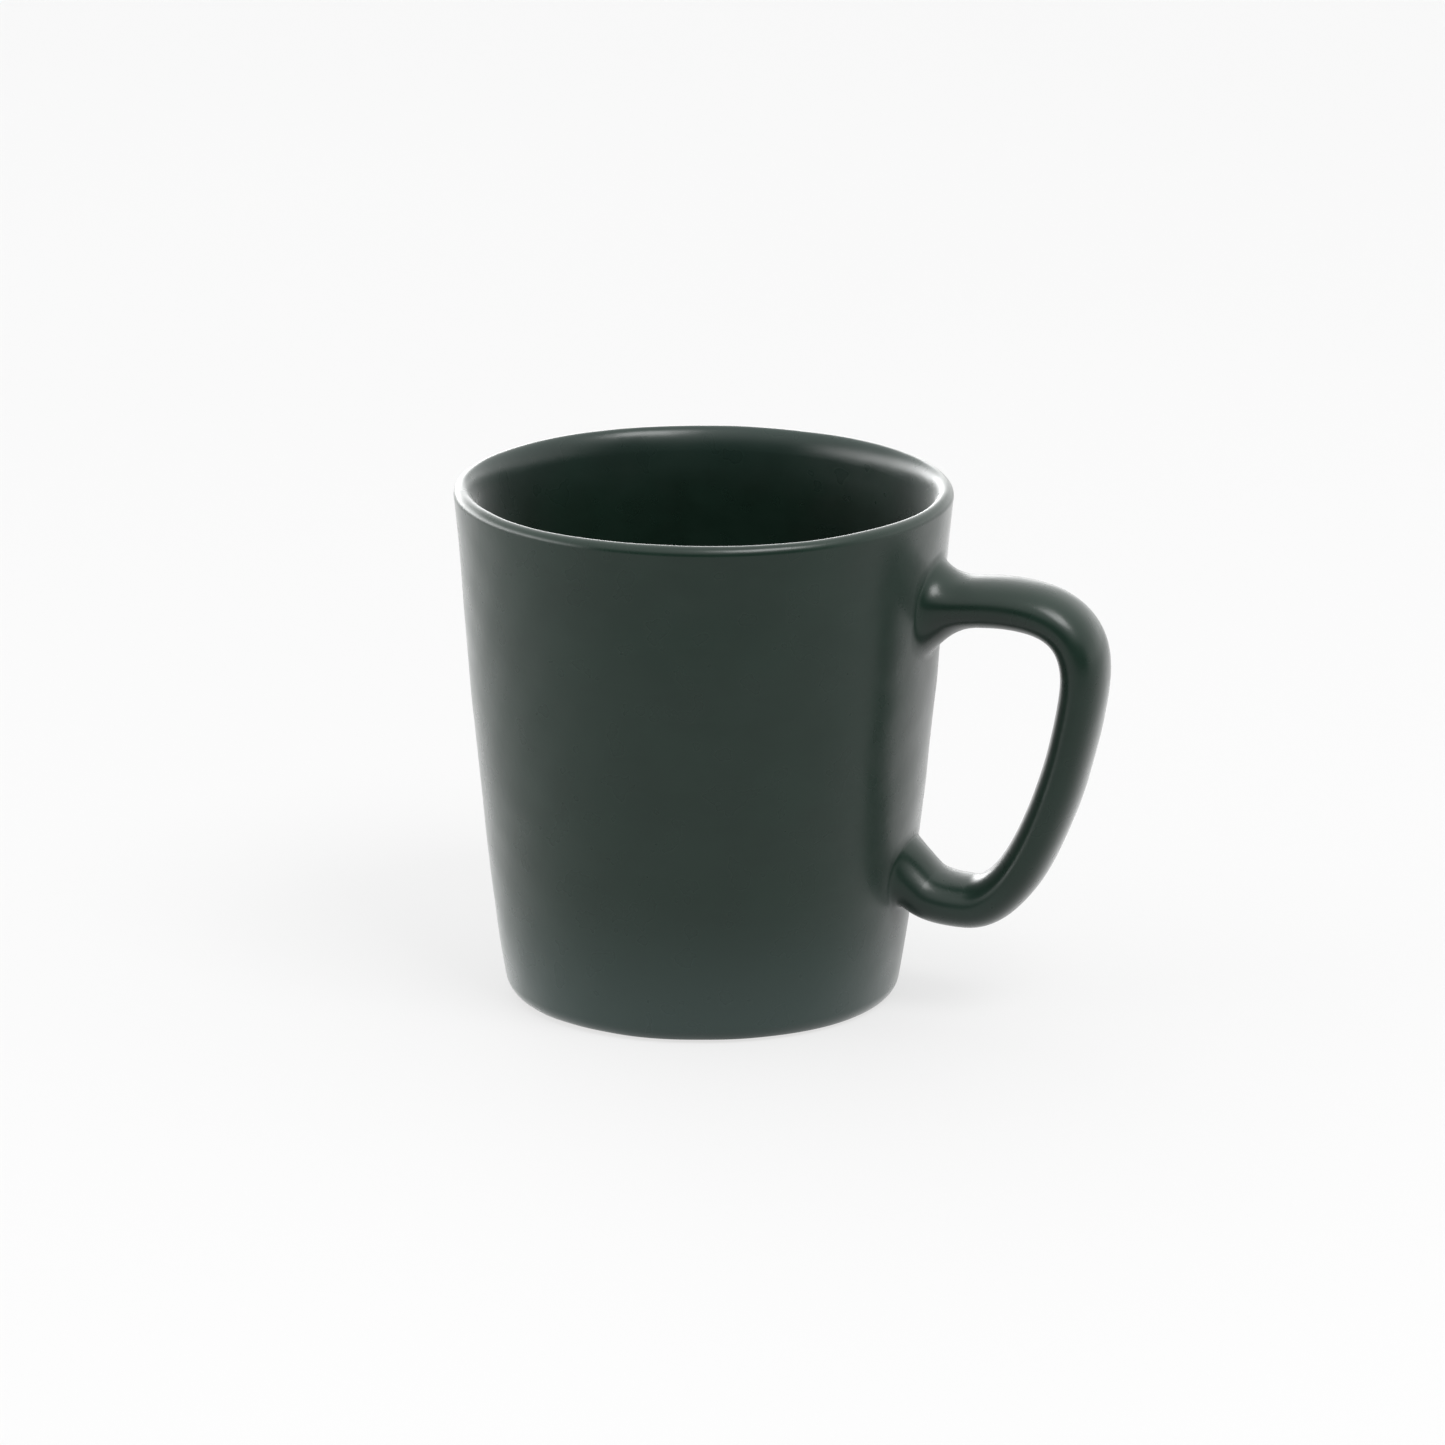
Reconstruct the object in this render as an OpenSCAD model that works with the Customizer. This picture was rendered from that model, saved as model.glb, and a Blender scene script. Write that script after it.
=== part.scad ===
// Ceramic mug: a thrown cup with a pulled ear handle, luted on with slip and glazed all over.
// Millimetres. The origin is the centre of the foot ring on the table, +Z runs up the cup's
// axis and the handle points along +X. Clay surfaces lie one glaze coat under glaze surfaces.

/* [Cup] */
// Height from the table to the top of the lip
cup_h = 92.2; // [80:0.1:110]
// Outside diameter at the lip
lip_d = 88.1; // [80:0.1:100]
// Outside diameter that the wall's curve starts from at the table
base_d = 69; // [60:0.2:76]
// Fullness of the wall: 1 is a straight cone, less bulges more
wall_curve = 0.75; // [0.7:0.01:1]
// How far the wall draws in under the lip
neck_dip = 0.25; // [0:0.05:0.5]
// Distance from the lip down to the middle of that neck
neck_drop = 10.5; // [8:0.5:16]
// Radius of the lip's outer side
lip_edge_r = 1.5; // [1.2:0.1:1.7]
// Height of the longer curve on the lip's inner side
lip_in_h = 5.5; // [1.7:0.1:7]
// Thickness of the wall with its glaze
wall_t = 3.4; // [2.8:0.1:4.4]
// Thickness of the floor with its glaze
floor_t = 5; // [4:0.5:8]
// Radius inside, where the wall turns into the floor
floor_edge_r = 9; // [5:0.5:14]

/* [Foot] */
// Radius of the bare clay edge at the table
foot_edge_r = 3.4; // [1:0.1:4]
// Width of the flat ring that the mug stands on
foot_ring_w = 2.6; // [2:0.1:5]
// Depth of the recess inside the ring, with its glaze
recess_d = 1.2; // [0.8:0.1:2]
// How far down the edge's curve the glaze runs, in degrees below level
glaze_line = 50; // [20:5:50]

/* [Glaze] */
// Thickness of the glaze coat
glaze_t = 0.35; // [0.25:0.05:0.5]

/* [Handle] */
// Height of the handle's middle where its upper end leaves the wall
upper_root_z = 74.3; // [70:0.1:78]
// Upward tilt of the upper arm as it leaves, in degrees
upper_rise = 9; // [0:1:14]
// Distance from the cup's axis to the outermost point of the handle's middle line
reach = 70; // [66:0.5:74]
// Height of that outermost point
shoulder_z = 63.4; // [58:0.1:66]
// Distance from the cup's axis to the lowest point of the middle line
low_x = 49.6; // [47:0.1:53]
// Height of that lowest point
low_z = 20.4; // [18:0.1:23]
// Height of the handle's middle where its lower end meets the wall
lower_root_z = 24.3; // [23:0.1:28]
// Upward tilt of the lower arm as it runs in to the wall, in degrees
lower_rise = 12; // [0:1:20]
// Thickness of the upper arm, seen from the side, with its glaze
upper_t = 8.8; // [8:0.1:11]
// Thickness halfway down the handle
middle_t = 8; // [7:0.1:10]
// Thickness of the lower arm
lower_t = 9.4; // [8:0.1:11]
// Width of the handle across its plane
handle_w = 14.6; // [11:0.1:16]
// Squareness of the section: 1 is an ellipse, smaller is squarer
section_curve = 0.93; // [0.6:0.01:1]

/* [Joints] */
// Thickness of the slip pad between the wall and the handle's end
slip_pad_t = 1; // [0.6:0.1:1.3]
// Length of the smoothed collar of slip along the upper arm
collar_len = 8; // [4:0.5:10]
// Flare of the upper collar over the wall, above the arm
upper_flare_top = 3.2; // [1.5:0.1:5]
// Flare of the upper collar over the wall, under the arm
upper_flare_low = 5.4; // [1.5:0.1:6]
// Flare of the upper collar over the wall, on its two flanks
upper_flare_side = 2.4; // [1:0.1:3]
// Flare of the lower collar over the wall, above the arm
lower_flare_top = 1.4; // [0.8:0.1:3]
// Flare of the lower collar over the wall, under the arm
lower_flare_low = 1.3; // [0.8:0.1:2]
// Flare of the lower collar over the wall, on its two flanks
lower_flare_side = 2; // [1:0.1:2.5]

/* [Hidden] */
lip_r = lip_d / 2;
base_r = base_d / 2;
// Height of the centre of the lip's outer round
lip_z = cup_h - lip_edge_r;
// Spread of the neck up and down the wall
neck_spread = 8;
// Levels on the wall, and steps on each round edge
wall_steps = 22;
edge_steps = 8;
// Pull of each curve of the handle on its end points
upper_pull = 13.7;
shoulder_pull_up = 13.5;
shoulder_pull_down = 8.7;
low_pull_out = 12.3;
low_pull_in = 9.6;
lower_pull = 2.5;
// Points round a section, steps along each curve, and steps up each collar
ring_n = 32;
upper_steps = 14;
belly_steps = 18;
lower_steps = 7;
collar_steps = 5;
// How far each collar's curve stands off the wall where they meet, which leaves a soft crease
upper_lift = [3, 3.5, 0.1];
lower_lift = [0, 1.8, 0.1];
// Where the handle is thinnest, as a share of its length
thin_at = 0.58;
full_turn_fn = 96;

/* ---- Outline of the cup ---- */

// Outer radius of the glazed wall at height z
function wall_r(z) = base_r + (lip_r - base_r) * pow(z / lip_z, wall_curve)
    - neck_dip * exp(-pow((z - cup_h + neck_drop) / neck_spread, 2));
// Lean of the wall away from upright at height z, in degrees
function wall_lean(z) = atan((wall_r(z + 0.5) - wall_r(z - 0.5)));
// Points on a circle from angle a0 to a1
function arc(cx, cz, r, a0, a1) = [for (i = [0 : edge_steps])
    let (a = a0 + (a1 - a0) * i / edge_steps) [cx + r * cos(a), cz + r * sin(a)]];
// Points up a wall, moved inward by inset
function wall_line(z0, z1, inset) = [for (i = [0 : wall_steps])
    let (z = z0 + (z1 - z0) * i / wall_steps) [wall_r(z) - inset, z]];
function reversed(list) = [for (i = [len(list) - 1 : -1 : 0]) list[i]];

lip_cx = wall_r(lip_z) - lip_edge_r;
lip_lean = wall_lean(lip_z);
// The inner side of the lip is part of an ellipse lip_in_w wide, and ends along the inner wall
lip_in_w = lip_cx - wall_r(cup_h - lip_in_h) + wall_t;
lip_in_end = 180 - atan(lip_in_h / lip_in_w * tan(lip_lean));
foot_lean = wall_lean(foot_edge_r);
inner_lean = wall_lean(floor_t + floor_edge_r);
// The foot's edge touches the clay wall at foot_join_z
foot_join_z = foot_edge_r * (1 - sin(foot_lean));
foot_cx = wall_r(foot_join_z) - glaze_t - foot_edge_r * cos(foot_lean);
ring_in_r = foot_cx - foot_ring_w;
// The inside round touches the inner wall at inner_join_z
inner_join_z = floor_t + floor_edge_r * (1 - sin(inner_lean));
inner_cx = wall_r(inner_join_z) - wall_t - floor_edge_r * cos(inner_lean);

// Each line below is one surface of the cup, skin deeper than its glaze
function foot_edge(skin, from) =
    arc(foot_cx, foot_edge_r, foot_edge_r + glaze_t - skin, from, -foot_lean);
function outer_wall(skin) = wall_line(foot_join_z + 1, lip_z - 1, skin);
function lip_outside(skin) = arc(lip_cx, lip_z, lip_edge_r - skin, -lip_lean, 90);
function lip_inside(skin, first) = [for (i = [first : edge_steps])
    let (a = 90 + (lip_in_end - 90) * i / edge_steps)
        [lip_cx + (lip_in_w - skin) * cos(a), cup_h - lip_in_h + (lip_in_h - skin) * sin(a)]];
function inner_wall(skin) =
    reversed(wall_line(inner_join_z + 1, cup_h - lip_in_h - 0.5, wall_t - skin));
function inner_edge(skin) =
    reversed(arc(inner_cx, floor_t + floor_edge_r, floor_edge_r + skin, -90, -inner_lean));

module turned(outline) {
    rotate_extrude($fn = full_turn_fn) polygon(outline);
}

/* ---- Middle line and sections of the handle ---- */

function bezier(p, t) = pow(1 - t, 3) * p[0] + 3 * pow(1 - t, 2) * t * p[1]
    + 3 * (1 - t) * t * t * p[2] + pow(t, 3) * p[3];
function bezier_way(p, t) =
    let (d = pow(1 - t, 2) * (p[1] - p[0]) + 2 * (1 - t) * t * (p[2] - p[1]) + t * t * (p[3] - p[2]))
    d / norm(d);
function smooth(t) = t * t * (3 - 2 * t);

upper_root = [wall_r(upper_root_z), upper_root_z];
lower_root = [wall_r(lower_root_z), lower_root_z];
shoulder = [reach, shoulder_z];
low_point = [low_x, low_z];
upper_curve = [upper_root, upper_root + upper_pull * [cos(upper_rise), sin(upper_rise)],
    shoulder + [0, shoulder_pull_up], shoulder];
belly_curve = [shoulder, shoulder - [0, shoulder_pull_down],
    low_point + [low_pull_out, 0], low_point];
lower_curve = [low_point, low_point - [low_pull_in, 0],
    lower_root + lower_pull * [cos(lower_rise), -sin(lower_rise)], lower_root];
// The collars end where the middle line is collar_len out from the wall
upper_start = collar_len / (3 * upper_pull);
// Share of the lower curve that is arm; the rest is inside the lower collar
lower_end = 0.5;

// Stations along the handle: [place, direction], from the upper collar to the lower one
stations = concat(
    [for (i = [0 : upper_steps]) let (t = upper_start + (1 - upper_start) * i / upper_steps)
        [bezier(upper_curve, t), bezier_way(upper_curve, t)]],
    [for (i = [1 : belly_steps]) let (t = i / belly_steps)
        [bezier(belly_curve, t), bezier_way(belly_curve, t)]],
    [for (i = [1 : lower_steps]) let (t = lower_end * i / lower_steps)
        [bezier(lower_curve, t), bezier_way(lower_curve, t)]]);
last = len(stations) - 1;

function half_t(i) = let (s = i / last)
    (s < thin_at ? upper_t + (middle_t - upper_t) * smooth(s / thin_at)
        : middle_t + (lower_t - middle_t) * smooth((s - thin_at) / (1 - thin_at))) / 2;
// A rounded oblong of unit half size
oblong = [for (i = [0 : ring_n - 1]) let (a = 360 * i / ring_n)
    [sign(cos(a)) * pow(abs(cos(a)), section_curve), sign(sin(a)) * pow(abs(sin(a)), section_curve)]];

// The section at station i, skin deeper than the glaze
function section(i, skin) = let (p = stations[i][0], way = stations[i][1])
    [for (q = oblong) let (u = (half_t(i) - skin) * q[0], v = (handle_w / 2 - skin) * q[1])
        [p[0] - u * way[1], v, p[1] + u * way[0]]];
// The point of the wall that has this y and z
function on_wall(y, z, skin) = [sqrt(pow(wall_r(z) - skin, 2) - y * y), y, z];
// Where the arm's side would run into the wall if it went straight on from point a
function straight_in(a, way, skin) = let (x = on_wall(a[1], a[2], skin)[0])
    on_wall(a[1], a[2] - (a[0] - x) * way[1] / way[0], skin);
function mean(points) = [for (k = [0 : 2]) [for (p = points) p[k]] * [for (p = points) 1] / len(points)];

// One of three values blended round a section: [at q = 1, at q = -1, on the flanks]
function round_value(v, q) = v[2] + ((q > 0 ? v[0] : v[1]) - v[2]) * q * q;
// Ring j of a collar, from its foot on the wall (0) up to the arm's section (collar_steps)
function collar_ring(i, skin, flares, lifts, j) =
    let (t = j / collar_steps, arm = section(i, skin), way = stations[i][1],
        straight = [for (a = arm) straight_in(a, way, skin)], mid = mean(straight))
    [for (k = [0 : ring_n - 1])
        let (q = oblong[k][0], c = straight[k], r = [c[1] - mid[1], c[2] - mid[2]],
            grown = r * (1 + round_value(flares, q) / norm(r)),
            foot = on_wall(mid[1] + grown[0], mid[2] + grown[1], skin),
            bend = c + [round_value(lifts, q), 0, 0])
        pow(1 - t, 2) * foot + 2 * t * (1 - t) * bend + t * t * arm[k]];
function collar(i, skin, flares, lifts, to) = [for (j = [0 : to]) collar_ring(i, skin, flares, lifts, j)];
// The collar's foot, pressed straight in through the glaze to the clay
function pressed_in(ring) = [for (p = ring) on_wall(p[1], p[2], glaze_t)];
// The handle's own end, a slip pad short of the wall
function clay_end(i) = let (arm = section(i, glaze_t), way = stations[i][1],
        root = i == 0 ? upper_root : lower_root, share = slip_pad_t / norm(stations[i][0] - root))
    [for (a = arm) let (c = straight_in(a, way, glaze_t)) c + share * (a - c)];

upper_flares = [upper_flare_top, upper_flare_low, upper_flare_side];
lower_flares = [lower_flare_low, lower_flare_top, lower_flare_side];
function upper_collar(skin, to) = collar(0, skin, upper_flares, upper_lift, to);
function lower_collar(skin, to) = collar(last, skin, lower_flares, lower_lift, to);
upper_foot = upper_collar(0, 0)[0];
lower_foot = lower_collar(0, 0)[0];

/* ---- Solids made of rings ---- */

function joined(rings) = [for (r = rings) for (p = r) p];
// Two triangles for each side between ring a and ring b
function band(a, b) = [for (k = [0 : ring_n - 1])
    let (m = (k + 1) % ring_n, from = a * ring_n, to = b * ring_n)
        each [[from + k, from + m, to + m], [from + k, to + m, to + k]]];

// Rings one after another, closed at each end by a fan to a middle point
module ring_solid(rings, first_mid, last_mid) {
    n = len(rings);
    first = n * ring_n;
    polyhedron(concat(joined(rings), [first_mid, last_mid]), concat(
        [for (k = [0 : ring_n - 1]) [first, (k + 1) % ring_n, k]],
        [for (i = [0 : n - 2]) each band(i, i + 1)],
        [for (k = [0 : ring_n - 1]) [first + 1, (n - 1) * ring_n + k, (n - 1) * ring_n + (k + 1) % ring_n]]),
        convexity = 6);
}

// Rings one after another, the last joined back to the first
module ring_tube(rings) {
    n = len(rings);
    polyhedron(joined(rings), [for (i = [0 : n - 1]) each band(i, (i + 1) % n)], convexity = 8);
}

// A slip pad with its collar: over the wall, up the collar, back down the handle's side
module slip_joint(i, collar_rings) {
    foot = collar_rings[0];
    mid = mean(foot);
    seat = [for (s = [0.25 : 0.25 : 0.75]) [for (p = foot)
        on_wall(mid[1] + s * (p[1] - mid[1]), mid[2] + s * (p[2] - mid[2]), glaze_t)]];
    end = clay_end(i);
    ring_solid(concat(seat, collar_rings, [end]), on_wall(mid[1], mid[2], glaze_t), mean(end));
}

// A straight cut along X through the outer glaze, round one collar's foot
module collar_window(foot) {
    rotate([90, 0, 90]) linear_extrude(height = lip_r + 1) polygon([for (p = foot) [p[1], p[2]]]);
}

/* ---- Sub-parts ---- */

module cup_body() {
    color([0.86, 0.82, 0.74]) turned(concat(
        [[0, recess_d + glaze_t], [ring_in_r - recess_d, recess_d + glaze_t], [ring_in_r, 0]],
        foot_edge(glaze_t, -90), outer_wall(glaze_t), lip_outside(glaze_t), lip_inside(glaze_t, 1),
        inner_wall(glaze_t), inner_edge(glaze_t), [[0, floor_t - glaze_t]]));
}

module handle() {
    upper_end = clay_end(0);
    lower_end_ring = clay_end(last);
    color([0.84, 0.8, 0.72]) ring_solid(
        concat([upper_end], [for (i = [0 : last]) section(i, glaze_t)], [lower_end_ring]),
        mean(upper_end), mean(lower_end_ring));
}

module upper_slip_joint() {
    color([0.8, 0.74, 0.64]) slip_joint(0, upper_collar(glaze_t, collar_steps));
}

module lower_slip_joint() {
    color([0.8, 0.74, 0.64]) slip_joint(last, lower_collar(glaze_t, collar_steps));
}

module glaze_liner() {
    color([0.1, 0.15, 0.12]) turned(concat(
        lip_inside(0, 0), inner_wall(0), inner_edge(0), [[0, floor_t], [0, floor_t - glaze_t]],
        reversed(concat(lip_inside(glaze_t, 0), inner_wall(glaze_t), inner_edge(glaze_t)))));
}

module glaze_outside() {
    color([0.2, 0.26, 0.22]) difference() {
        turned(concat(
            foot_edge(0, -glaze_line), outer_wall(0), lip_outside(0),
            reversed(concat(foot_edge(glaze_t, -glaze_line), outer_wall(glaze_t), lip_outside(glaze_t)))));
        collar_window(upper_foot);
        collar_window(lower_foot);
    }
}

module glaze_handle() {
    outside = concat(upper_collar(0, collar_steps - 1), [for (i = [0 : last]) section(i, 0)],
        reversed(lower_collar(0, collar_steps - 1)));
    inside = concat([pressed_in(upper_foot)], upper_collar(glaze_t, collar_steps - 1),
        [for (i = [0 : last]) section(i, glaze_t)], reversed(lower_collar(glaze_t, collar_steps - 1)),
        [pressed_in(lower_foot)]);
    color([0.24, 0.3, 0.26]) ring_tube(concat(outside, reversed(inside)));
}

module glaze_underside() {
    color([0.16, 0.21, 0.18]) turned(
        [[0, recess_d], [ring_in_r - recess_d - 1, recess_d],
         [ring_in_r - recess_d - 1, recess_d + glaze_t], [0, recess_d + glaze_t]]);
}

cup_body();
handle();
upper_slip_joint();
lower_slip_joint();
glaze_liner();
glaze_outside();
glaze_handle();
glaze_underside();
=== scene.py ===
"""Ceramic mug: finished meshes, glaze and clay materials, studio and camera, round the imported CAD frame."""
import math

import bpy
import numpy as np
from mathutils import Matrix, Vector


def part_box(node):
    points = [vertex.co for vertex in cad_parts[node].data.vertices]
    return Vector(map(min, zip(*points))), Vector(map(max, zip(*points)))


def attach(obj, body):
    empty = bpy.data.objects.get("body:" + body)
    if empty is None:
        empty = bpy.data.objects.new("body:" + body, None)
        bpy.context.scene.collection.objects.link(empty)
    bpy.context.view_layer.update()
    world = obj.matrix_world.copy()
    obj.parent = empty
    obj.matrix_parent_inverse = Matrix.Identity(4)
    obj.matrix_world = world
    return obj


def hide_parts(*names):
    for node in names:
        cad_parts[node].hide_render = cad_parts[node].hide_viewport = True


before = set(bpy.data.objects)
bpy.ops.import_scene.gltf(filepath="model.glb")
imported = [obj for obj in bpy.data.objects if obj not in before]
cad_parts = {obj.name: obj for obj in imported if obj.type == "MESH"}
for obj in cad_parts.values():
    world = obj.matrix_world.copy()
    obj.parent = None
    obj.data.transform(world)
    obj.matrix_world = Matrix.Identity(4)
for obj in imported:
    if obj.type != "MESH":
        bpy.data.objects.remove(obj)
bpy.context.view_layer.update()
MM = 0.001

# ---- Sizes read from the frame, in metres ----
COAT_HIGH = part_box("glaze_outside")[1]
HANDLE_LOW, HANDLE_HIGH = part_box("handle")
CUP_H = COAT_HIGH[2]
GLAZE_T = CUP_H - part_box("cup_body")[1][2]
HANDLE_W = HANDLE_HIGH[1] - HANDLE_LOW[1] + 2 * GLAZE_T
FLOOR_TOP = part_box("glaze_liner")[0][2] + GLAZE_T

# ---- The cup's curves, as the CAD model has them ----
BASE_R = 34.5 * MM
NECK_WIDENS = 0.09 * MM
LIP_R = COAT_HIGH[1] + NECK_WIDENS
WALL_CURVE = 0.75
NECK_DIP = 0.25 * MM
NECK_DROP = 10.5 * MM
NECK_SPREAD = 8 * MM
WALL_T = 3.4 * MM
LIP_EDGE_R = 1.5 * MM
LIP_IN_H = 5.5 * MM
LIP_Z = CUP_H - LIP_EDGE_R
FOOT_EDGE_R = 3.4 * MM
FLOOR_EDGE_R = 9 * MM
GLAZE_LINE = math.radians(50)

# ---- The handle's curves ----
UPPER_ROOT_Z = 74.3 * MM
LOWER_ROOT_Z = 24.3 * MM
UPPER_RISE = math.radians(9)
LOWER_RISE = math.radians(12)
REACH = 70 * MM
SHOULDER_Z = 63.4 * MM
LOW_X = 49.6 * MM
LOW_Z = 20.4 * MM
UPPER_PULL = 13.7 * MM
SHOULDER_PULL_UP = 13.5 * MM
SHOULDER_PULL_DOWN = 8.7 * MM
LOW_PULL_OUT = 12.3 * MM
LOW_PULL_IN = 9.6 * MM
LOWER_PULL = 2.5 * MM
UPPER_T = 8.8 * MM
MIDDLE_T = 8 * MM
LOWER_T = 9.4 * MM
THIN_AT = 0.58
SECTION_CURVE = 0.93
COLLAR_LEN = 8 * MM
LOWER_END = 0.5
# Spread of each collar over the wall, and how far its curve stands off the wall where they meet, which
# leaves a soft crease: (top, underside, flank) of the upper one, (underside, top, flank) of the lower one
UPPER_FLARE = (3.2 * MM, 5.4 * MM, 2.4 * MM)
LOWER_FLARE = (1.3 * MM, 1.4 * MM, 2 * MM)
UPPER_LIFT = (3 * MM, 3.5 * MM, 0.1 * MM)
LOWER_LIFT = (0, 1.8 * MM, 0.1 * MM)

# ---- Mesh counts ----
COLUMNS = 288
# Half the width, in wall cells, of the square of wall that is cut out round each root
BLOCK = 14
RING_N = 8 * BLOCK
ROOT_ROWS = 53
LIP_STEPS = 20
FOOT_STEPS = 8
INSIDE_STEPS = 84
FLOOR_EDGE_STEPS = 14
FLOOR_STEPS = 18
ARM_STEPS = (34, 48, 14)
COLLAR_STEPS = 8
PATCH_STEPS = 4

# ---- Unevenness of a hand-finished pot, as waves over the surface ----
WAVE_SIZES = (26 * MM, 14 * MM, 8 * MM)
WAVE_HEIGHTS = (0.05 * MM, 0.03 * MM, 0.015 * MM)
WAVES_EACH = 5
WAVE_SEED = 7


# ---------------------------------------------------------------- outline of the cup

def wall_radius(z):
    """Outer radius of the glazed wall at height z."""
    rise = np.maximum(z, 0) / LIP_Z
    neck = NECK_DIP * np.exp(-(((z - CUP_H + NECK_DROP) / NECK_SPREAD) ** 2))
    return BASE_R + (LIP_R - BASE_R) * rise ** WALL_CURVE - neck


def wall_lean(z):
    """Lean of the wall away from upright at height z."""
    return math.atan((wall_radius(z + 0.5 * MM) - wall_radius(z - 0.5 * MM)) / MM)


def arc(cx, cz, r, a0, a1, steps):
    """Points (radius, height) on a circle from angle a0 to a1, in steps."""
    a = np.linspace(a0, a1, steps + 1)
    return np.stack([cx + r * np.cos(a), cz + r * np.sin(a)], 1)


def wall_rows():
    """Heights of the wall's rows, with both of the handle's roots on a row."""
    step = (UPPER_ROOT_Z - LOWER_ROOT_Z) / ROOT_ROWS
    first = -math.floor((LOWER_ROOT_Z - FOOT_EDGE_R - MM) / step)
    last = math.floor((LIP_Z - MM / 2 - LOWER_ROOT_Z) / step)
    return LOWER_ROOT_Z + step * np.arange(first, last + 1), -first


def outside_profile():
    """Outline of the outer coat from the glaze line up to the lip's top, and the lower root's row in it."""
    z, root_row = wall_rows()
    lean = wall_lean(FOOT_EDGE_R)
    join = FOOT_EDGE_R * (1 - math.sin(lean))
    cx = wall_radius(join) - GLAZE_T - FOOT_EDGE_R * math.cos(lean)
    foot = arc(cx, FOOT_EDGE_R, FOOT_EDGE_R + GLAZE_T, -GLAZE_LINE, -lean, FOOT_STEPS)
    wall = np.stack([wall_radius(z), z], 1)
    lip_lean = wall_lean(LIP_Z)
    lip = arc(wall_radius(LIP_Z) - LIP_EDGE_R, LIP_Z, LIP_EDGE_R, -lip_lean, math.pi / 2, LIP_STEPS)
    return np.concatenate([foot, wall, lip]), root_row + len(foot)


def liner_profile():
    """Outline of the liner from the top of the lip down to the middle of the floor."""
    lip_cx = wall_radius(LIP_Z) - LIP_EDGE_R
    lip_w = lip_cx - wall_radius(CUP_H - LIP_IN_H) + WALL_T
    last = math.pi - math.atan(LIP_IN_H / lip_w * math.tan(wall_lean(LIP_Z)))
    a = np.linspace(math.pi / 2, last, LIP_STEPS + 1)
    lip = np.stack([lip_cx + lip_w * np.cos(a), CUP_H - LIP_IN_H * (1 - np.sin(a))], 1)
    lean = wall_lean(FLOOR_TOP + FLOOR_EDGE_R)
    join = FLOOR_TOP + FLOOR_EDGE_R * (1 - math.sin(lean))
    cx = wall_radius(join) - WALL_T - FLOOR_EDGE_R * math.cos(lean)
    z = np.linspace(CUP_H - LIP_IN_H - MM / 2, join + MM, INSIDE_STEPS)
    wall = np.stack([wall_radius(z) - WALL_T, z], 1)
    edge = arc(cx, FLOOR_TOP + FLOOR_EDGE_R, FLOOR_EDGE_R, -lean, -math.pi / 2, FLOOR_EDGE_STEPS)
    floor_r = np.linspace(cx, 0, FLOOR_STEPS)[1:-1]
    floor = np.stack([floor_r, np.full_like(floor_r, FLOOR_TOP)], 1)
    return np.concatenate([lip, wall, edge, floor])


# ---------------------------------------------------------------- middle line and rings of the handle

def bezier(p, t):
    """Points on the curve with the four control points p, at each t."""
    t = t[:, None]
    return (1 - t) ** 3 * p[0] + 3 * (1 - t) ** 2 * t * p[1] + 3 * (1 - t) * t ** 2 * p[2] + t ** 3 * p[3]


def bezier_way(p, t):
    """Unit directions along the same curve."""
    t = t[:, None]
    d = (1 - t) ** 2 * (p[1] - p[0]) + 2 * (1 - t) * t * (p[2] - p[1]) + t ** 2 * (p[3] - p[2])
    return d / np.linalg.norm(d, axis=1)[:, None]


def handle_line():
    """Places and directions along the handle's middle line, in (x, z), from collar to collar."""
    upper_root = np.array([wall_radius(UPPER_ROOT_Z), UPPER_ROOT_Z])
    lower_root = np.array([wall_radius(LOWER_ROOT_Z), LOWER_ROOT_Z])
    shoulder, low = np.array([REACH, SHOULDER_Z]), np.array([LOW_X, LOW_Z])
    out_up = np.array([math.cos(UPPER_RISE), math.sin(UPPER_RISE)])
    out_low = np.array([math.cos(LOWER_RISE), -math.sin(LOWER_RISE)])
    curves = (
        (upper_root, upper_root + UPPER_PULL * out_up, shoulder + [0, SHOULDER_PULL_UP], shoulder),
        (shoulder, shoulder - [0, SHOULDER_PULL_DOWN], low + [LOW_PULL_OUT, 0], low),
        (low, low - [LOW_PULL_IN, 0], lower_root + LOWER_PULL * out_low, lower_root))
    spans = ((COLLAR_LEN / (3 * UPPER_PULL), 1), (0, 1), (0, LOWER_END))
    place, way = [], []
    for k, (curve, (t0, t1), steps) in enumerate(zip(curves, spans, ARM_STEPS)):
        t = np.linspace(t0, t1, steps + 1)[0 if k == 0 else 1:]
        place.append(bezier(curve, t))
        way.append(bezier_way(curve, t))
    return np.concatenate(place), np.concatenate(way)


def oblong():
    """A rounded oblong of unit half size: (in the handle's plane, across it)."""
    a = np.linspace(0, 2 * math.pi, RING_N, endpoint=False)
    c, s = np.cos(a), np.sin(a)
    return np.stack([np.sign(c) * abs(c) ** SECTION_CURVE, np.sign(s) * abs(s) ** SECTION_CURVE], 1)


def arm_sections(place, way):
    """One ring of points round the arm at each place."""
    ease = lambda t: t * t * (3 - 2 * t)
    s = np.linspace(0, 1, len(place))
    upper = UPPER_T + (MIDDLE_T - UPPER_T) * ease(np.clip(s / THIN_AT, 0, 1))
    thick = upper + (LOWER_T - MIDDLE_T) * ease(np.clip((s - THIN_AT) / (1 - THIN_AT), 0, 1))
    q = oblong()
    u = thick[:, None] / 2 * q[None, :, 0]
    v = np.broadcast_to(HANDLE_W / 2 * q[None, :, 1], u.shape)
    return np.stack([place[:, :1] - u * way[:, 1:], v, place[:, 1:] + u * way[:, :1]], 2)


def on_wall(y, z):
    """Points of the wall on the handle's side, at y across and height z."""
    return np.stack([np.sqrt(wall_radius(z) ** 2 - y ** 2), y, z], -1)


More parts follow.
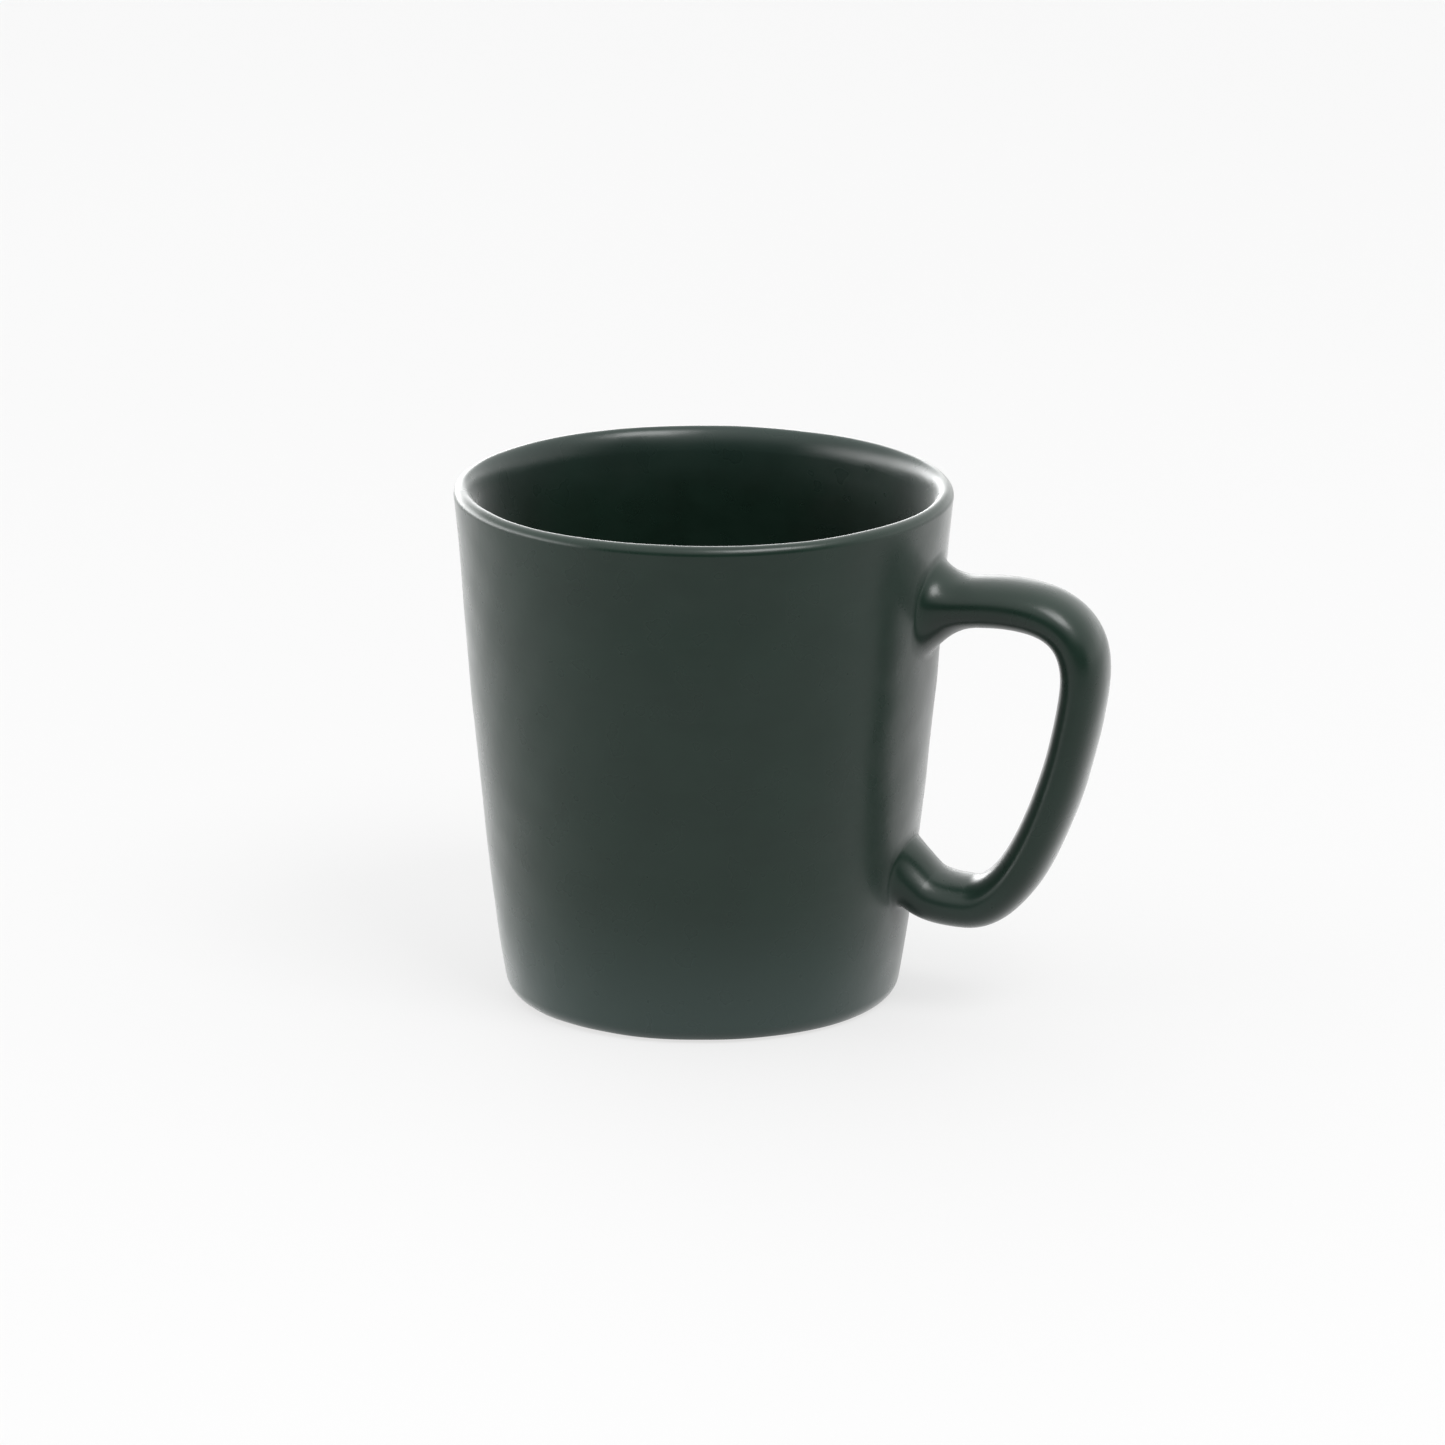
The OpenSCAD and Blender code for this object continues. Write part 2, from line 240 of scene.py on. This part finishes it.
def collar_rings(arm, way, flare, lift):
    """Rings from the collar's foot on the wall up to the arm's section."""
    x = on_wall(arm[:, 1], arm[:, 2])[:, 0]
    straight = on_wall(arm[:, 1], arm[:, 2] - (arm[:, 0] - x) * way[1] / way[0])
    middle = straight.mean(0)
    q = oblong()[:, 0]
    spread, stand = (f[2] + (np.where(q > 0, f[0], f[1]) - f[2]) * q * q for f in (flare, lift))
    r = straight[:, 1:] - middle[1:]
    grown = middle[1:] + r * (1 + spread / np.linalg.norm(r, axis=1))[:, None]
    foot = on_wall(grown[:, 0], grown[:, 1])
    bend = straight + stand[:, None] * [[1, 0, 0]]
    t = np.linspace(0, 1, COLLAR_STEPS + 1)[:, None, None]
    return (1 - t) ** 2 * foot + 2 * t * (1 - t) * bend + t ** 2 * arm


# ---------------------------------------------------------------- mesh building

def turn(profile):
    """A grid of points: each point of the profile turned about the axis."""
    a = np.linspace(0, 2 * math.pi, COLUMNS, endpoint=False)
    r, z = profile[:, 0], profile[:, 1]
    return np.stack([r[:, None] * np.cos(a), r[:, None] * np.sin(a), np.repeat(z[:, None], COLUMNS, 1)], 2)


def quads(grid):
    """Faces between the rows of an index grid whose columns run right round."""
    a, b = grid[:-1], grid[1:]
    a2, b2 = np.roll(a, -1, 1), np.roll(b, -1, 1)
    return np.stack([a, a2, b2, b], 2).reshape(-1, 4)


def normals_of(verts, faces):
    """Smooth normals, one per vertex."""
    p = verts[faces]
    n = np.cross(p[:, 2] - p[:, 0], p[:, 3] - p[:, 1])
    out = np.zeros_like(verts)
    for k in range(4):
        np.add.at(out, faces[:, k], n)
    return out / np.maximum(np.linalg.norm(out, axis=1), 1e-20)[:, None]


def unevenness(points):
    """Height of the pot's slight waves at each point."""
    rng = np.random.default_rng(WAVE_SEED)
    total = np.zeros(len(points))
    for size, height in zip(WAVE_SIZES, WAVE_HEIGHTS):
        for _ in range(WAVES_EACH):
            way = rng.normal(size=3)
            way *= 2 * math.pi / size / np.linalg.norm(way)
            total += height / WAVES_EACH ** 0.5 * np.sin(points @ way + rng.uniform(0, 2 * math.pi))
    return total


def skin_piece(name, verts, faces, rims, level_rim):
    """A closed skin one coat thick: the given outer surface, the same surface one coat in, and a wall
    along each rim. rims are rows of indices, and level_rim is the one that lies on top of the lip."""
    normals = normals_of(verts, faces)
    normals[level_rim] = (0, 0, 1)
    verts = verts + normals * unevenness(verts)[:, None]
    normals = normals_of(verts, faces)
    normals[level_rim] = (0, 0, 1)
    count = len(verts)
    all_verts = np.concatenate([verts, verts - normals * GLAZE_T])
    walls = []
    for rim in rims:
        nxt = np.roll(rim, -1)
        walls.append(np.stack([rim, rim + count, nxt + count, nxt], 1))
    all_faces = np.concatenate([faces, faces[:, ::-1] + count] + walls)
    return mesh_object(name, all_verts, all_faces, np.concatenate([normals, -normals]))


def mesh_object(name, verts, faces, normals=None):
    """A smooth mesh in the scene. A face that uses a point twice running becomes a triangle."""
    faces = [[i for k, i in enumerate(f) if i != f[k - 1]] for f in faces.tolist()]
    mesh = bpy.data.meshes.new(name)
    mesh.from_pydata(verts.tolist(), [], faces)
    mesh.validate()
    mesh.polygons.foreach_set("use_smooth", [True] * len(mesh.polygons))
    if normals is not None:
        mesh.normals_split_custom_set_from_vertices(normals.tolist())
    piece = bpy.data.objects.new(name, mesh)
    bpy.context.scene.collection.objects.link(piece)
    return piece


def compact(verts, faces, rows):
    """Drops the points that no face uses, and renumbers the faces and rows of indices."""
    used = np.unique(faces)
    new = np.full(len(verts), -1)
    new[used] = np.arange(len(used))
    return verts[used], new[faces], [new[r] for r in rows]


# ---------------------------------------------------------------- pieces

def block_rim(grid, row, upward):
    """Indices round the square block of wall cells about a root, starting at the arm's outer side."""
    n, side = BLOCK, (1 if upward else -1)
    col = lambda c: c % COLUMNS
    path = [(side * n, c) for c in range(0, n)]
    path += [(side * r, n) for r in range(n, -n, -1)]
    path += [(-side * n, c) for c in range(n, -n, -1)]
    path += [(side * r, -n) for r in range(-n, n)]
    path += [(side * n, c) for c in range(-n, 0)]
    return np.array([grid[row + r, col(c)] for r, c in path])


def patch_rings(rim_points, foot):
    """Rings on the wall between a block's rim and a collar's foot, both left out."""
    rim_angle, foot_angle = (np.arctan2(p[:, 1], p[:, 0]) for p in (rim_points, foot))
    rings = []
    for k in range(1, PATCH_STEPS):
        t = k / PATCH_STEPS
        angle = rim_angle + (foot_angle - rim_angle) * t
        z = rim_points[:, 2] + (foot[:, 2] - rim_points[:, 2]) * t
        r = wall_radius(z)
        rings.append(np.stack([r * np.cos(angle), r * np.sin(angle), z], 1))
    return rings


def make_coat():
    """The glaze on the outer wall, the handle and both collars, as one skin."""
    profile, lower_row = outside_profile()
    points = turn(profile)
    grid = np.arange(points.shape[0] * COLUMNS).reshape(points.shape[:2])
    verts = points.reshape(-1, 3)
    wall = quads(grid).reshape(points.shape[0] - 1, COLUMNS, 4)
    keep = np.ones(wall.shape[:2], bool)
    rims = []
    for row, upward in ((lower_row + ROOT_ROWS, True), (lower_row, False)):
        for c in range(-BLOCK, BLOCK):
            keep[row - BLOCK: row + BLOCK, c % COLUMNS] = False
        rims.append(block_rim(grid, row, upward))
    place, way = handle_line()
    arm = arm_sections(place, way)
    upper = collar_rings(arm[0], way[0], UPPER_FLARE, UPPER_LIFT)
    lower = collar_rings(arm[-1], way[-1], LOWER_FLARE, LOWER_LIFT)
    rings = patch_rings(verts[rims[0]], upper[0]) + list(upper[:-1]) + list(arm)
    rings += list(lower[::-1][1:]) + patch_rings(verts[rims[1]], lower[0])[::-1]
    ring_ids = len(verts) + np.arange(len(rings) * RING_N).reshape(-1, RING_N)
    sleeve = np.concatenate([rims[0][None], ring_ids, rims[1][None]])
    faces = np.concatenate([wall[keep], quads(sleeve)[:, ::-1]])
    verts = np.concatenate([verts] + rings)
    verts, faces, (foot_rim, lip_rim) = compact(verts, faces, (grid[0], grid[-1]))
    return skin_piece("coat", verts, faces, (foot_rim, lip_rim[::-1]), lip_rim)


def make_liner():
    """The glaze inside the cup."""
    points = turn(liner_profile())
    rows = points.shape[0]
    grid = np.arange(rows * COLUMNS).reshape(rows, COLUMNS)
    verts = np.concatenate([points.reshape(-1, 3), [[0, 0, FLOOR_TOP]]])
    middle = np.full((1, COLUMNS), rows * COLUMNS)
    faces = quads(np.concatenate([grid, middle]))
    return skin_piece("liner", verts, faces, (grid[0],), grid[0])


# ---------------------------------------------------------------- materials

# Colours of the glaze, deep and pale, with painted shade in the liner's, and a paler colour that is painted
# light
OUTSIDE_DEEP, OUTSIDE_PALE = (0.004, 0.014, 0.009), (0.006, 0.018, 0.012)
# Painted shade: the liner's deep and pale are the outside glaze painted darker, for the shade inside the cup
SHADED_LINER_DEEP, SHADED_LINER_PALE = (0.0025, 0.0085, 0.005), (0.0045, 0.014, 0.009)
# Painted light: a paler glaze colour, painted near the foot outside as the bright floor's reflection, and
# near the lip inside where light falls into the cup
PAINTED_LIGHT_GLAZE = (0.022, 0.038, 0.034)
# Heights in metres below and above which the paler colour is painted on as light, outside and inside, and
# over how much height. A height of 0 or 0.2 lies past the mug: no painted light at that end.
OUTSIDE_PAINTED_LIGHT = (0.03, 0.2)
LINER_PAINTED_LIGHT = (0, 0.078)
PAINTED_LIGHT_DOWN = 0.034
PAINTED_LIGHT_UP = 0.03
# Mottling, turning marks, patches of gloss, orange peel and grain: size, and strength or depth
CLOUD_SIZE, CLOUD_STRENGTH = 11 * MM, 0.6
TURNING_SIZE, TURNING_STRENGTH = 2.2 * MM, 0.25
TURNING_STRETCH = (0.25, 0.25, 1)
GLOSS_SIZE = 5 * MM
PEEL_SIZE, PEEL_DEPTH = 1.6 * MM, 0.012 * MM
GRAIN_SIZE, GRAIN_DEPTH = 0.35 * MM, 0.0035 * MM
GLAZE_ROUGH = 0.29
ROUGH_VARIES = 0.03
GLAZE_IOR = 1.5
GLAZE_SHINE = 0.32
SHEEN = 0.42
SHEEN_ROUGH = 0.34

# Colours of the three bare clays, body and grog, and their specks, clouding and grain
CUP_CLAY = ((0.36, 0.31, 0.25), (0.22, 0.18, 0.14))
HANDLE_CLAY = ((0.35, 0.30, 0.24), (0.22, 0.18, 0.14))
SLIP_CLAY = ((0.32, 0.26, 0.20), (0.20, 0.16, 0.12))
SPECK_SIZE = 0.5 * MM
SPECK_EDGE = (0.58, 0.68)
CLAY_CLOUD_SIZE, CLAY_CLOUD_STRENGTH = 6 * MM, 0.35
CLAY_GRAIN_SIZE, CLAY_GRAIN_DEPTH = 0.25 * MM, 0.03 * MM
CLAY_ROUGH = 0.85


class Nodes:
    """A short way to write the node tree of a material or a world."""

    def __init__(self, owner):
        owner.use_nodes = True
        self.owner = owner
        self.tree = owner.node_tree
        self.tree.nodes.clear()

    def add(self, kind, inputs=None, **settings):
        """A node of one kind, with each input linked or set."""
        node = self.tree.nodes.new(kind)
        for key, value in settings.items():
            setattr(node, key, value)
        for key, value in (inputs or {}).items():
            if isinstance(value, bpy.types.NodeSocket):
                self.tree.links.new(value, node.inputs[key])
            else:
                node.inputs[key].default_value = value
        return node

    def place(self, stretch=(1, 1, 1)):
        """The object's own coordinates in metres, stretched."""
        where = self.add("ShaderNodeTexCoord").outputs["Object"]
        return self.add("ShaderNodeMapping", {"Vector": where, "Scale": stretch}).outputs["Vector"]

    def noise(self, size, detail=2.0, stretch=(1, 1, 1), roughness=0.5):
        """Noise whose lumps are about size metres across."""
        return self.add("ShaderNodeTexNoise", {
            "Vector": self.place(stretch), "Scale": 1 / size, "Detail": detail, "Roughness": roughness,
        }).outputs["Fac"]

    def spread(self, value, low, high, from_low=0.3, from_high=0.7):
        """value, taken from from_low..from_high to low..high."""
        return self.add("ShaderNodeMapRange", {
            "Value": value, "From Min": from_low, "From Max": from_high, "To Min": low, "To Max": high,
        }).outputs["Result"]

    def smooth_step(self, value, start, end):
        """0 before start and 1 after end, smooth between; start may be the larger."""
        return self.add("ShaderNodeMapRange", {
            "Value": value, "From Min": start, "From Max": end, "To Min": 0, "To Max": 1,
        }, interpolation_type="SMOOTHSTEP").outputs["Result"]

    def along(self, where, way):
        """How far a place or direction lies along way."""
        return self.add("ShaderNodeVectorMath", {0: where, 1: way}, operation="DOT_PRODUCT").outputs["Value"]

    def mix(self, factor, a, b):
        """Colour a at factor 0 and b at factor 1."""
        node = self.add("ShaderNodeMix", {"Factor": factor}, data_type="RGBA")
        for socket, value in ((node.inputs[6], a), (node.inputs[7], b)):
            if isinstance(value, bpy.types.NodeSocket):
                self.tree.links.new(value, socket)
            else:
                socket.default_value = (*value, 1)
        return node.outputs[2]

    def bump(self, height, depth, below=None):
        """A relief of the given depth in metres, on top of the one below."""
        inputs = {"Height": height, "Strength": 1.0, "Distance": depth}
        if below is not None:
            inputs["Normal"] = below
        return self.add("ShaderNodeBump", inputs).outputs["Normal"]

    def shader(self, **inputs):
        """The finished material, from the surface shader's inputs by name."""
        shader = self.add("ShaderNodeBsdfPrincipled", {k.replace("_", " "): v for k, v in inputs.items()})
        self.add("ShaderNodeOutputMaterial", {"Surface": shader.outputs["BSDF"]})
        return self.owner


def glaze_material(name, deep, pale, painted_light_below, painted_light_above):
    """Satin glaze: mottled colour, faint turning marks, an orange-peel surface and a fine silky grain. It is
    painted paler below one height, toward the foot, and above the other, toward the lip, as painted light: on
    the outside a painted reflection of the bright floor near the foot, on the liner painted light falling
    into the top of the cup."""
    n = Nodes(bpy.data.materials.new(name))
    cloud = n.smooth_step(n.noise(CLOUD_SIZE, 3), 0.3, 0.7)
    turned = n.smooth_step(n.noise(TURNING_SIZE, 2, stretch=TURNING_STRETCH), 0.3, 0.7)
    colour = n.mix(n.spread(cloud, 0, CLOUD_STRENGTH, 0, 1), deep, pale)
    colour = n.mix(n.spread(turned, 0, TURNING_STRENGTH, 0, 1), colour, pale)
    height = n.add("ShaderNodeSeparateXYZ", {"Vector": n.place()}).outputs["Z"]
    # Painted light: paler below one height, toward the foot, and above the other, toward the lip
    colour = n.mix(n.smooth_step(height, painted_light_below, painted_light_below - PAINTED_LIGHT_DOWN), colour, PAINTED_LIGHT_GLAZE)
    colour = n.mix(n.smooth_step(height, painted_light_above, painted_light_above + PAINTED_LIGHT_UP), colour, PAINTED_LIGHT_GLAZE)
    gloss = n.smooth_step(n.noise(GLOSS_SIZE, 2), 0.2, 0.8)
    roughness = n.spread(gloss, GLAZE_ROUGH - ROUGH_VARIES, GLAZE_ROUGH + ROUGH_VARIES, 0, 1)
    peel = n.bump(n.noise(PEEL_SIZE, 1), PEEL_DEPTH)
    grain = n.bump(n.noise(GRAIN_SIZE, 2), GRAIN_DEPTH, peel)
    return n.shader(Base_Color=colour, Roughness=roughness, Normal=grain, IOR=GLAZE_IOR,
                    Specular_IOR_Level=GLAZE_SHINE, Sheen_Weight=SHEEN, Sheen_Roughness=SHEEN_ROUGH)


def stoneware_material(name, body, grog):
    """Bare fired clay: dry, fine and speckled with grog."""
    n = Nodes(bpy.data.materials.new(name))
    speck = n.spread(n.noise(SPECK_SIZE, 3, roughness=0.7), 0, 1, *SPECK_EDGE)
    cloud = n.spread(n.noise(CLAY_CLOUD_SIZE, 2), 0, CLAY_CLOUD_STRENGTH)
    colour = n.mix(speck, n.mix(cloud, body, grog), grog)
    surface = n.bump(n.noise(CLAY_GRAIN_SIZE, 3, roughness=0.7), CLAY_GRAIN_DEPTH)
    return n.shader(Base_Color=colour, Roughness=CLAY_ROUGH, Normal=surface)


def floor_material():
    """Pale matt paper. It glows though it is no lamp: painted light, which keeps its shadows faint, and fades
    a little at the front edge to meet what the camera sees beyond it."""
    n = Nodes(bpy.data.materials.new("pale_floor"))
    white = n.spread(n.noise(FLOOR_CLOUD_SIZE, 2), FLOOR_WHITE - FLOOR_VARIES, FLOOR_WHITE + FLOOR_VARIES)
    front = n.smooth_step(n.along(n.place(), way_out(0)), FADE_FROM, FLOOR_FRONT)
    glow = n.spread(front, FLOOR_GLOW, FLOOR_GLOW - FLOOR_FADE, 0, 1)
    return n.shader(Base_Color=white, Roughness=FLOOR_ROUGH, Specular_IOR_Level=FLOOR_SHINE,
                    Emission_Color=(1, 1, 1, 1), Emission_Strength=glow)


# ---------------------------------------------------------------- studio

VIEW_AZIMUTH = math.radians(17.5)
VIEW_ELEVATION = math.radians(16.12)
VIEW_ROLL = math.radians(0.215)
VIEW_DISTANCE = 1.5
AIM_SIDE = 3.44 * MM
AIM_HEIGHT = 48.6 * MM
LENS = 210.8
SENSOR = 36
NEAREST, FARTHEST = 0.05, 50

# Brightness of the room round the mug, and of what the camera sees behind it
ROOM_LEFT = 8
ROOM_BACK = 1.7
ROOM_HIGH = 1.4
ROOM_ABOVE = 1.6
ROOM_BEHIND_CAMERA = 0.08
BACKDROP = 0.96
# Where each part of the room starts and where it is full: how far the direction leans its way, from -1 to 1
LEFT_AZIMUTH = math.radians(-115)
LEFT_EDGE = (0.15, 0.7)
LEFT_TOP = (0.45, 0.15)
BACK_TOP = (0.32, 0.08)
CEILING_EDGE = (0.5, 0.9)
DARK_EDGE = (0.1, 0.7)
DARK_TOP = (0.6, 0.2)
# The floor sheet, in metres, and its own glow, painted light which fades from FADE_FROM to FLOOR_FRONT
FLOOR_REACH = 6
FLOOR_FRONT = 0.36
FADE_FROM = 0.28
FLOOR_WHITE = 0.12
FLOOR_VARIES = 0.003
FLOOR_CLOUD_SIZE = 0.5
FLOOR_ROUGH = 0.9
FLOOR_SHINE = 0.1
FLOOR_GLOW = 0.684
FLOOR_FADE = 0.036
# The key light, from the camera's right and above: distance and size in metres, power in watts
KEY_AZIMUTH, KEY_ELEVATION = math.radians(37), math.radians(56)
KEY_DISTANCE = 1.2
KEY_SIZE = (0.56, 0.48)
KEY_POWER = 10.5


def way_out(azimuth, elevation=0):
    """The direction from the mug at an azimuth from the camera's side and an elevation, both in radians."""
    a, e = VIEW_AZIMUTH + azimuth, elevation
    return np.array([math.sin(a) * math.cos(e), -math.cos(a) * math.cos(e), math.sin(e)])


def view_axes():
    """The camera's right, up and back directions before its small roll."""
    right = np.array([math.cos(VIEW_AZIMUTH), math.sin(VIEW_AZIMUTH), 0])
    back = way_out(0, VIEW_ELEVATION)
    return right, np.cross(back, right), back


def make_camera():
    """The photograph's view."""
    right, up, back = view_axes()
    aim = AIM_SIDE * right + np.array([0, 0, AIM_HEIGHT])
    c, s = math.cos(VIEW_ROLL), math.sin(VIEW_ROLL)
    data = bpy.data.cameras.new("view")
    data.sensor_width, data.lens, data.clip_start, data.clip_end = SENSOR, LENS, NEAREST, FARTHEST
    camera = bpy.data.objects.new("view", data)
    place = np.eye(4)
    place[:3] = np.stack([c * right + s * up, c * up - s * right, back, aim + VIEW_DISTANCE * back], 1)
    camera.matrix_world = Matrix(place.tolist())
    bpy.context.scene.collection.objects.link(camera)
    bpy.context.scene.camera = camera


def soft_light(name, azimuth, elevation, distance, size, power):
    """A soft box that faces the mug, placed by its direction from the camera's side."""
    data = bpy.data.lights.new(name, "AREA")
    data.shape, data.size, data.size_y, data.energy = "RECTANGLE", size[0], size[1], power
    light = bpy.data.objects.new(name, data)
    light.location = distance * way_out(azimuth, elevation)
    light.rotation_euler = (math.pi / 2 - elevation, 0, VIEW_AZIMUTH + azimuth)
    bpy.context.scene.collection.objects.link(light)


def make_floor():
    """A pale sheet that ends a little below the picture's lower edge, so that the room there stays dark."""
    right, front = view_axes()[0], way_out(0)
    corners = np.array([side * FLOOR_REACH * right + far * front for side, far in (
        (-1, FLOOR_FRONT), (1, FLOOR_FRONT), (1, -FLOOR_REACH), (-1, -FLOOR_REACH))])
    floor = mesh_object("floor", corners, np.array([[0, 1, 2, 3]]))
    floor.data.materials.append(floor_material())


def make_room():
    """White walls, brightest on the left, a bright ceiling, and the dim side of the room behind the camera,
    low down. The camera itself sees plain white."""
    world = bpy.data.worlds.new("room")
    n = Nodes(world)
    way = n.add("ShaderNodeTexCoord").outputs["Generated"]

    def times(a, b):
        return n.add("ShaderNodeMath", {0: a, 1: b}, operation="MULTIPLY").outputs[0]

    def plus(a, b):
        return n.add("ShaderNodeMath", {0: a, 1: b}, operation="ADD").outputs[0]

    def blend(factor, a, b):
        return n.add("ShaderNodeMix", {"Factor": factor, "A": a, "B": b}, data_type="FLOAT").outputs[0]

    near = n.smooth_step(n.along(way, way_out(0)), *DARK_EDGE)
    height = n.along(way, (0, 0, 1))
    left = n.smooth_step(n.along(way, way_out(LEFT_AZIMUTH)), *LEFT_EDGE)
    left = n.spread(left, 0, ROOM_LEFT - ROOM_BACK, 0, 1)
    window = times(left, n.smooth_step(height, *LEFT_TOP))
    low_wall = times(n.smooth_step(height, *BACK_TOP), ROOM_BACK - ROOM_HIGH)
    over = n.smooth_step(height, *CEILING_EDGE)
    walls = plus(plus(window, low_wall), ROOM_HIGH)
    lit = n.spread(times(near, n.smooth_step(height, *DARK_TOP)), 1, 0, 0, 1)
    dark = n.spread(lit, ROOM_BEHIND_CAMERA, 0, 0, 1)
    room = blend(over, plus(times(walls, lit), dark), ROOM_ABOVE)
    seen = n.add("ShaderNodeLightPath").outputs["Is Camera Ray"]
    strength = blend(seen, room, BACKDROP)
    background = n.add("ShaderNodeBackground", {"Color": (1, 1, 1, 1), "Strength": strength})
    n.add("ShaderNodeOutputWorld", {"Surface": background.outputs["Background"]})
    bpy.context.scene.world = world


def make_studio():
    """Floor, room and key light."""
    make_floor()
    make_room()
    soft_light("key", KEY_AZIMUTH, KEY_ELEVATION, KEY_DISTANCE, KEY_SIZE, KEY_POWER)
    bpy.context.scene.view_settings.view_transform = "Standard"


# ---------------------------------------------------------------- put together

# The outside is painted paler toward the foot as a painted reflection of the floor; the liner is painted
# darker as shade, and paler toward the lip as painted light
outside_glaze = glaze_material("outside_glaze", OUTSIDE_DEEP, OUTSIDE_PALE, *OUTSIDE_PAINTED_LIGHT)
liner_glaze = glaze_material("liner_glaze", SHADED_LINER_DEEP, SHADED_LINER_PALE, *LINER_PAINTED_LIGHT)
bare_stoneware = stoneware_material("bare_stoneware", *CUP_CLAY)
handle_stoneware = stoneware_material("handle_stoneware", *HANDLE_CLAY)
fired_slip = stoneware_material("fired_slip", *SLIP_CLAY)

for node, material in (
        ("cup_body", bare_stoneware),
        ("handle", handle_stoneware),
        ("upper_slip_joint", fired_slip),
        ("lower_slip_joint", fired_slip),
        ("glaze_underside", outside_glaze)):
    for material_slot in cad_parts[node].material_slots:
        material_slot.material = material

for piece, material, slot_name, replaced in (
        (make_coat(), outside_glaze, "outside_glaze", ("glaze_outside", "glaze_handle")),
        (make_liner(), liner_glaze, "liner_glaze", ("glaze_liner",))):
    piece.data.materials.append(material)
    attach(piece, "root")
    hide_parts(*replaced)

make_studio()
make_camera()
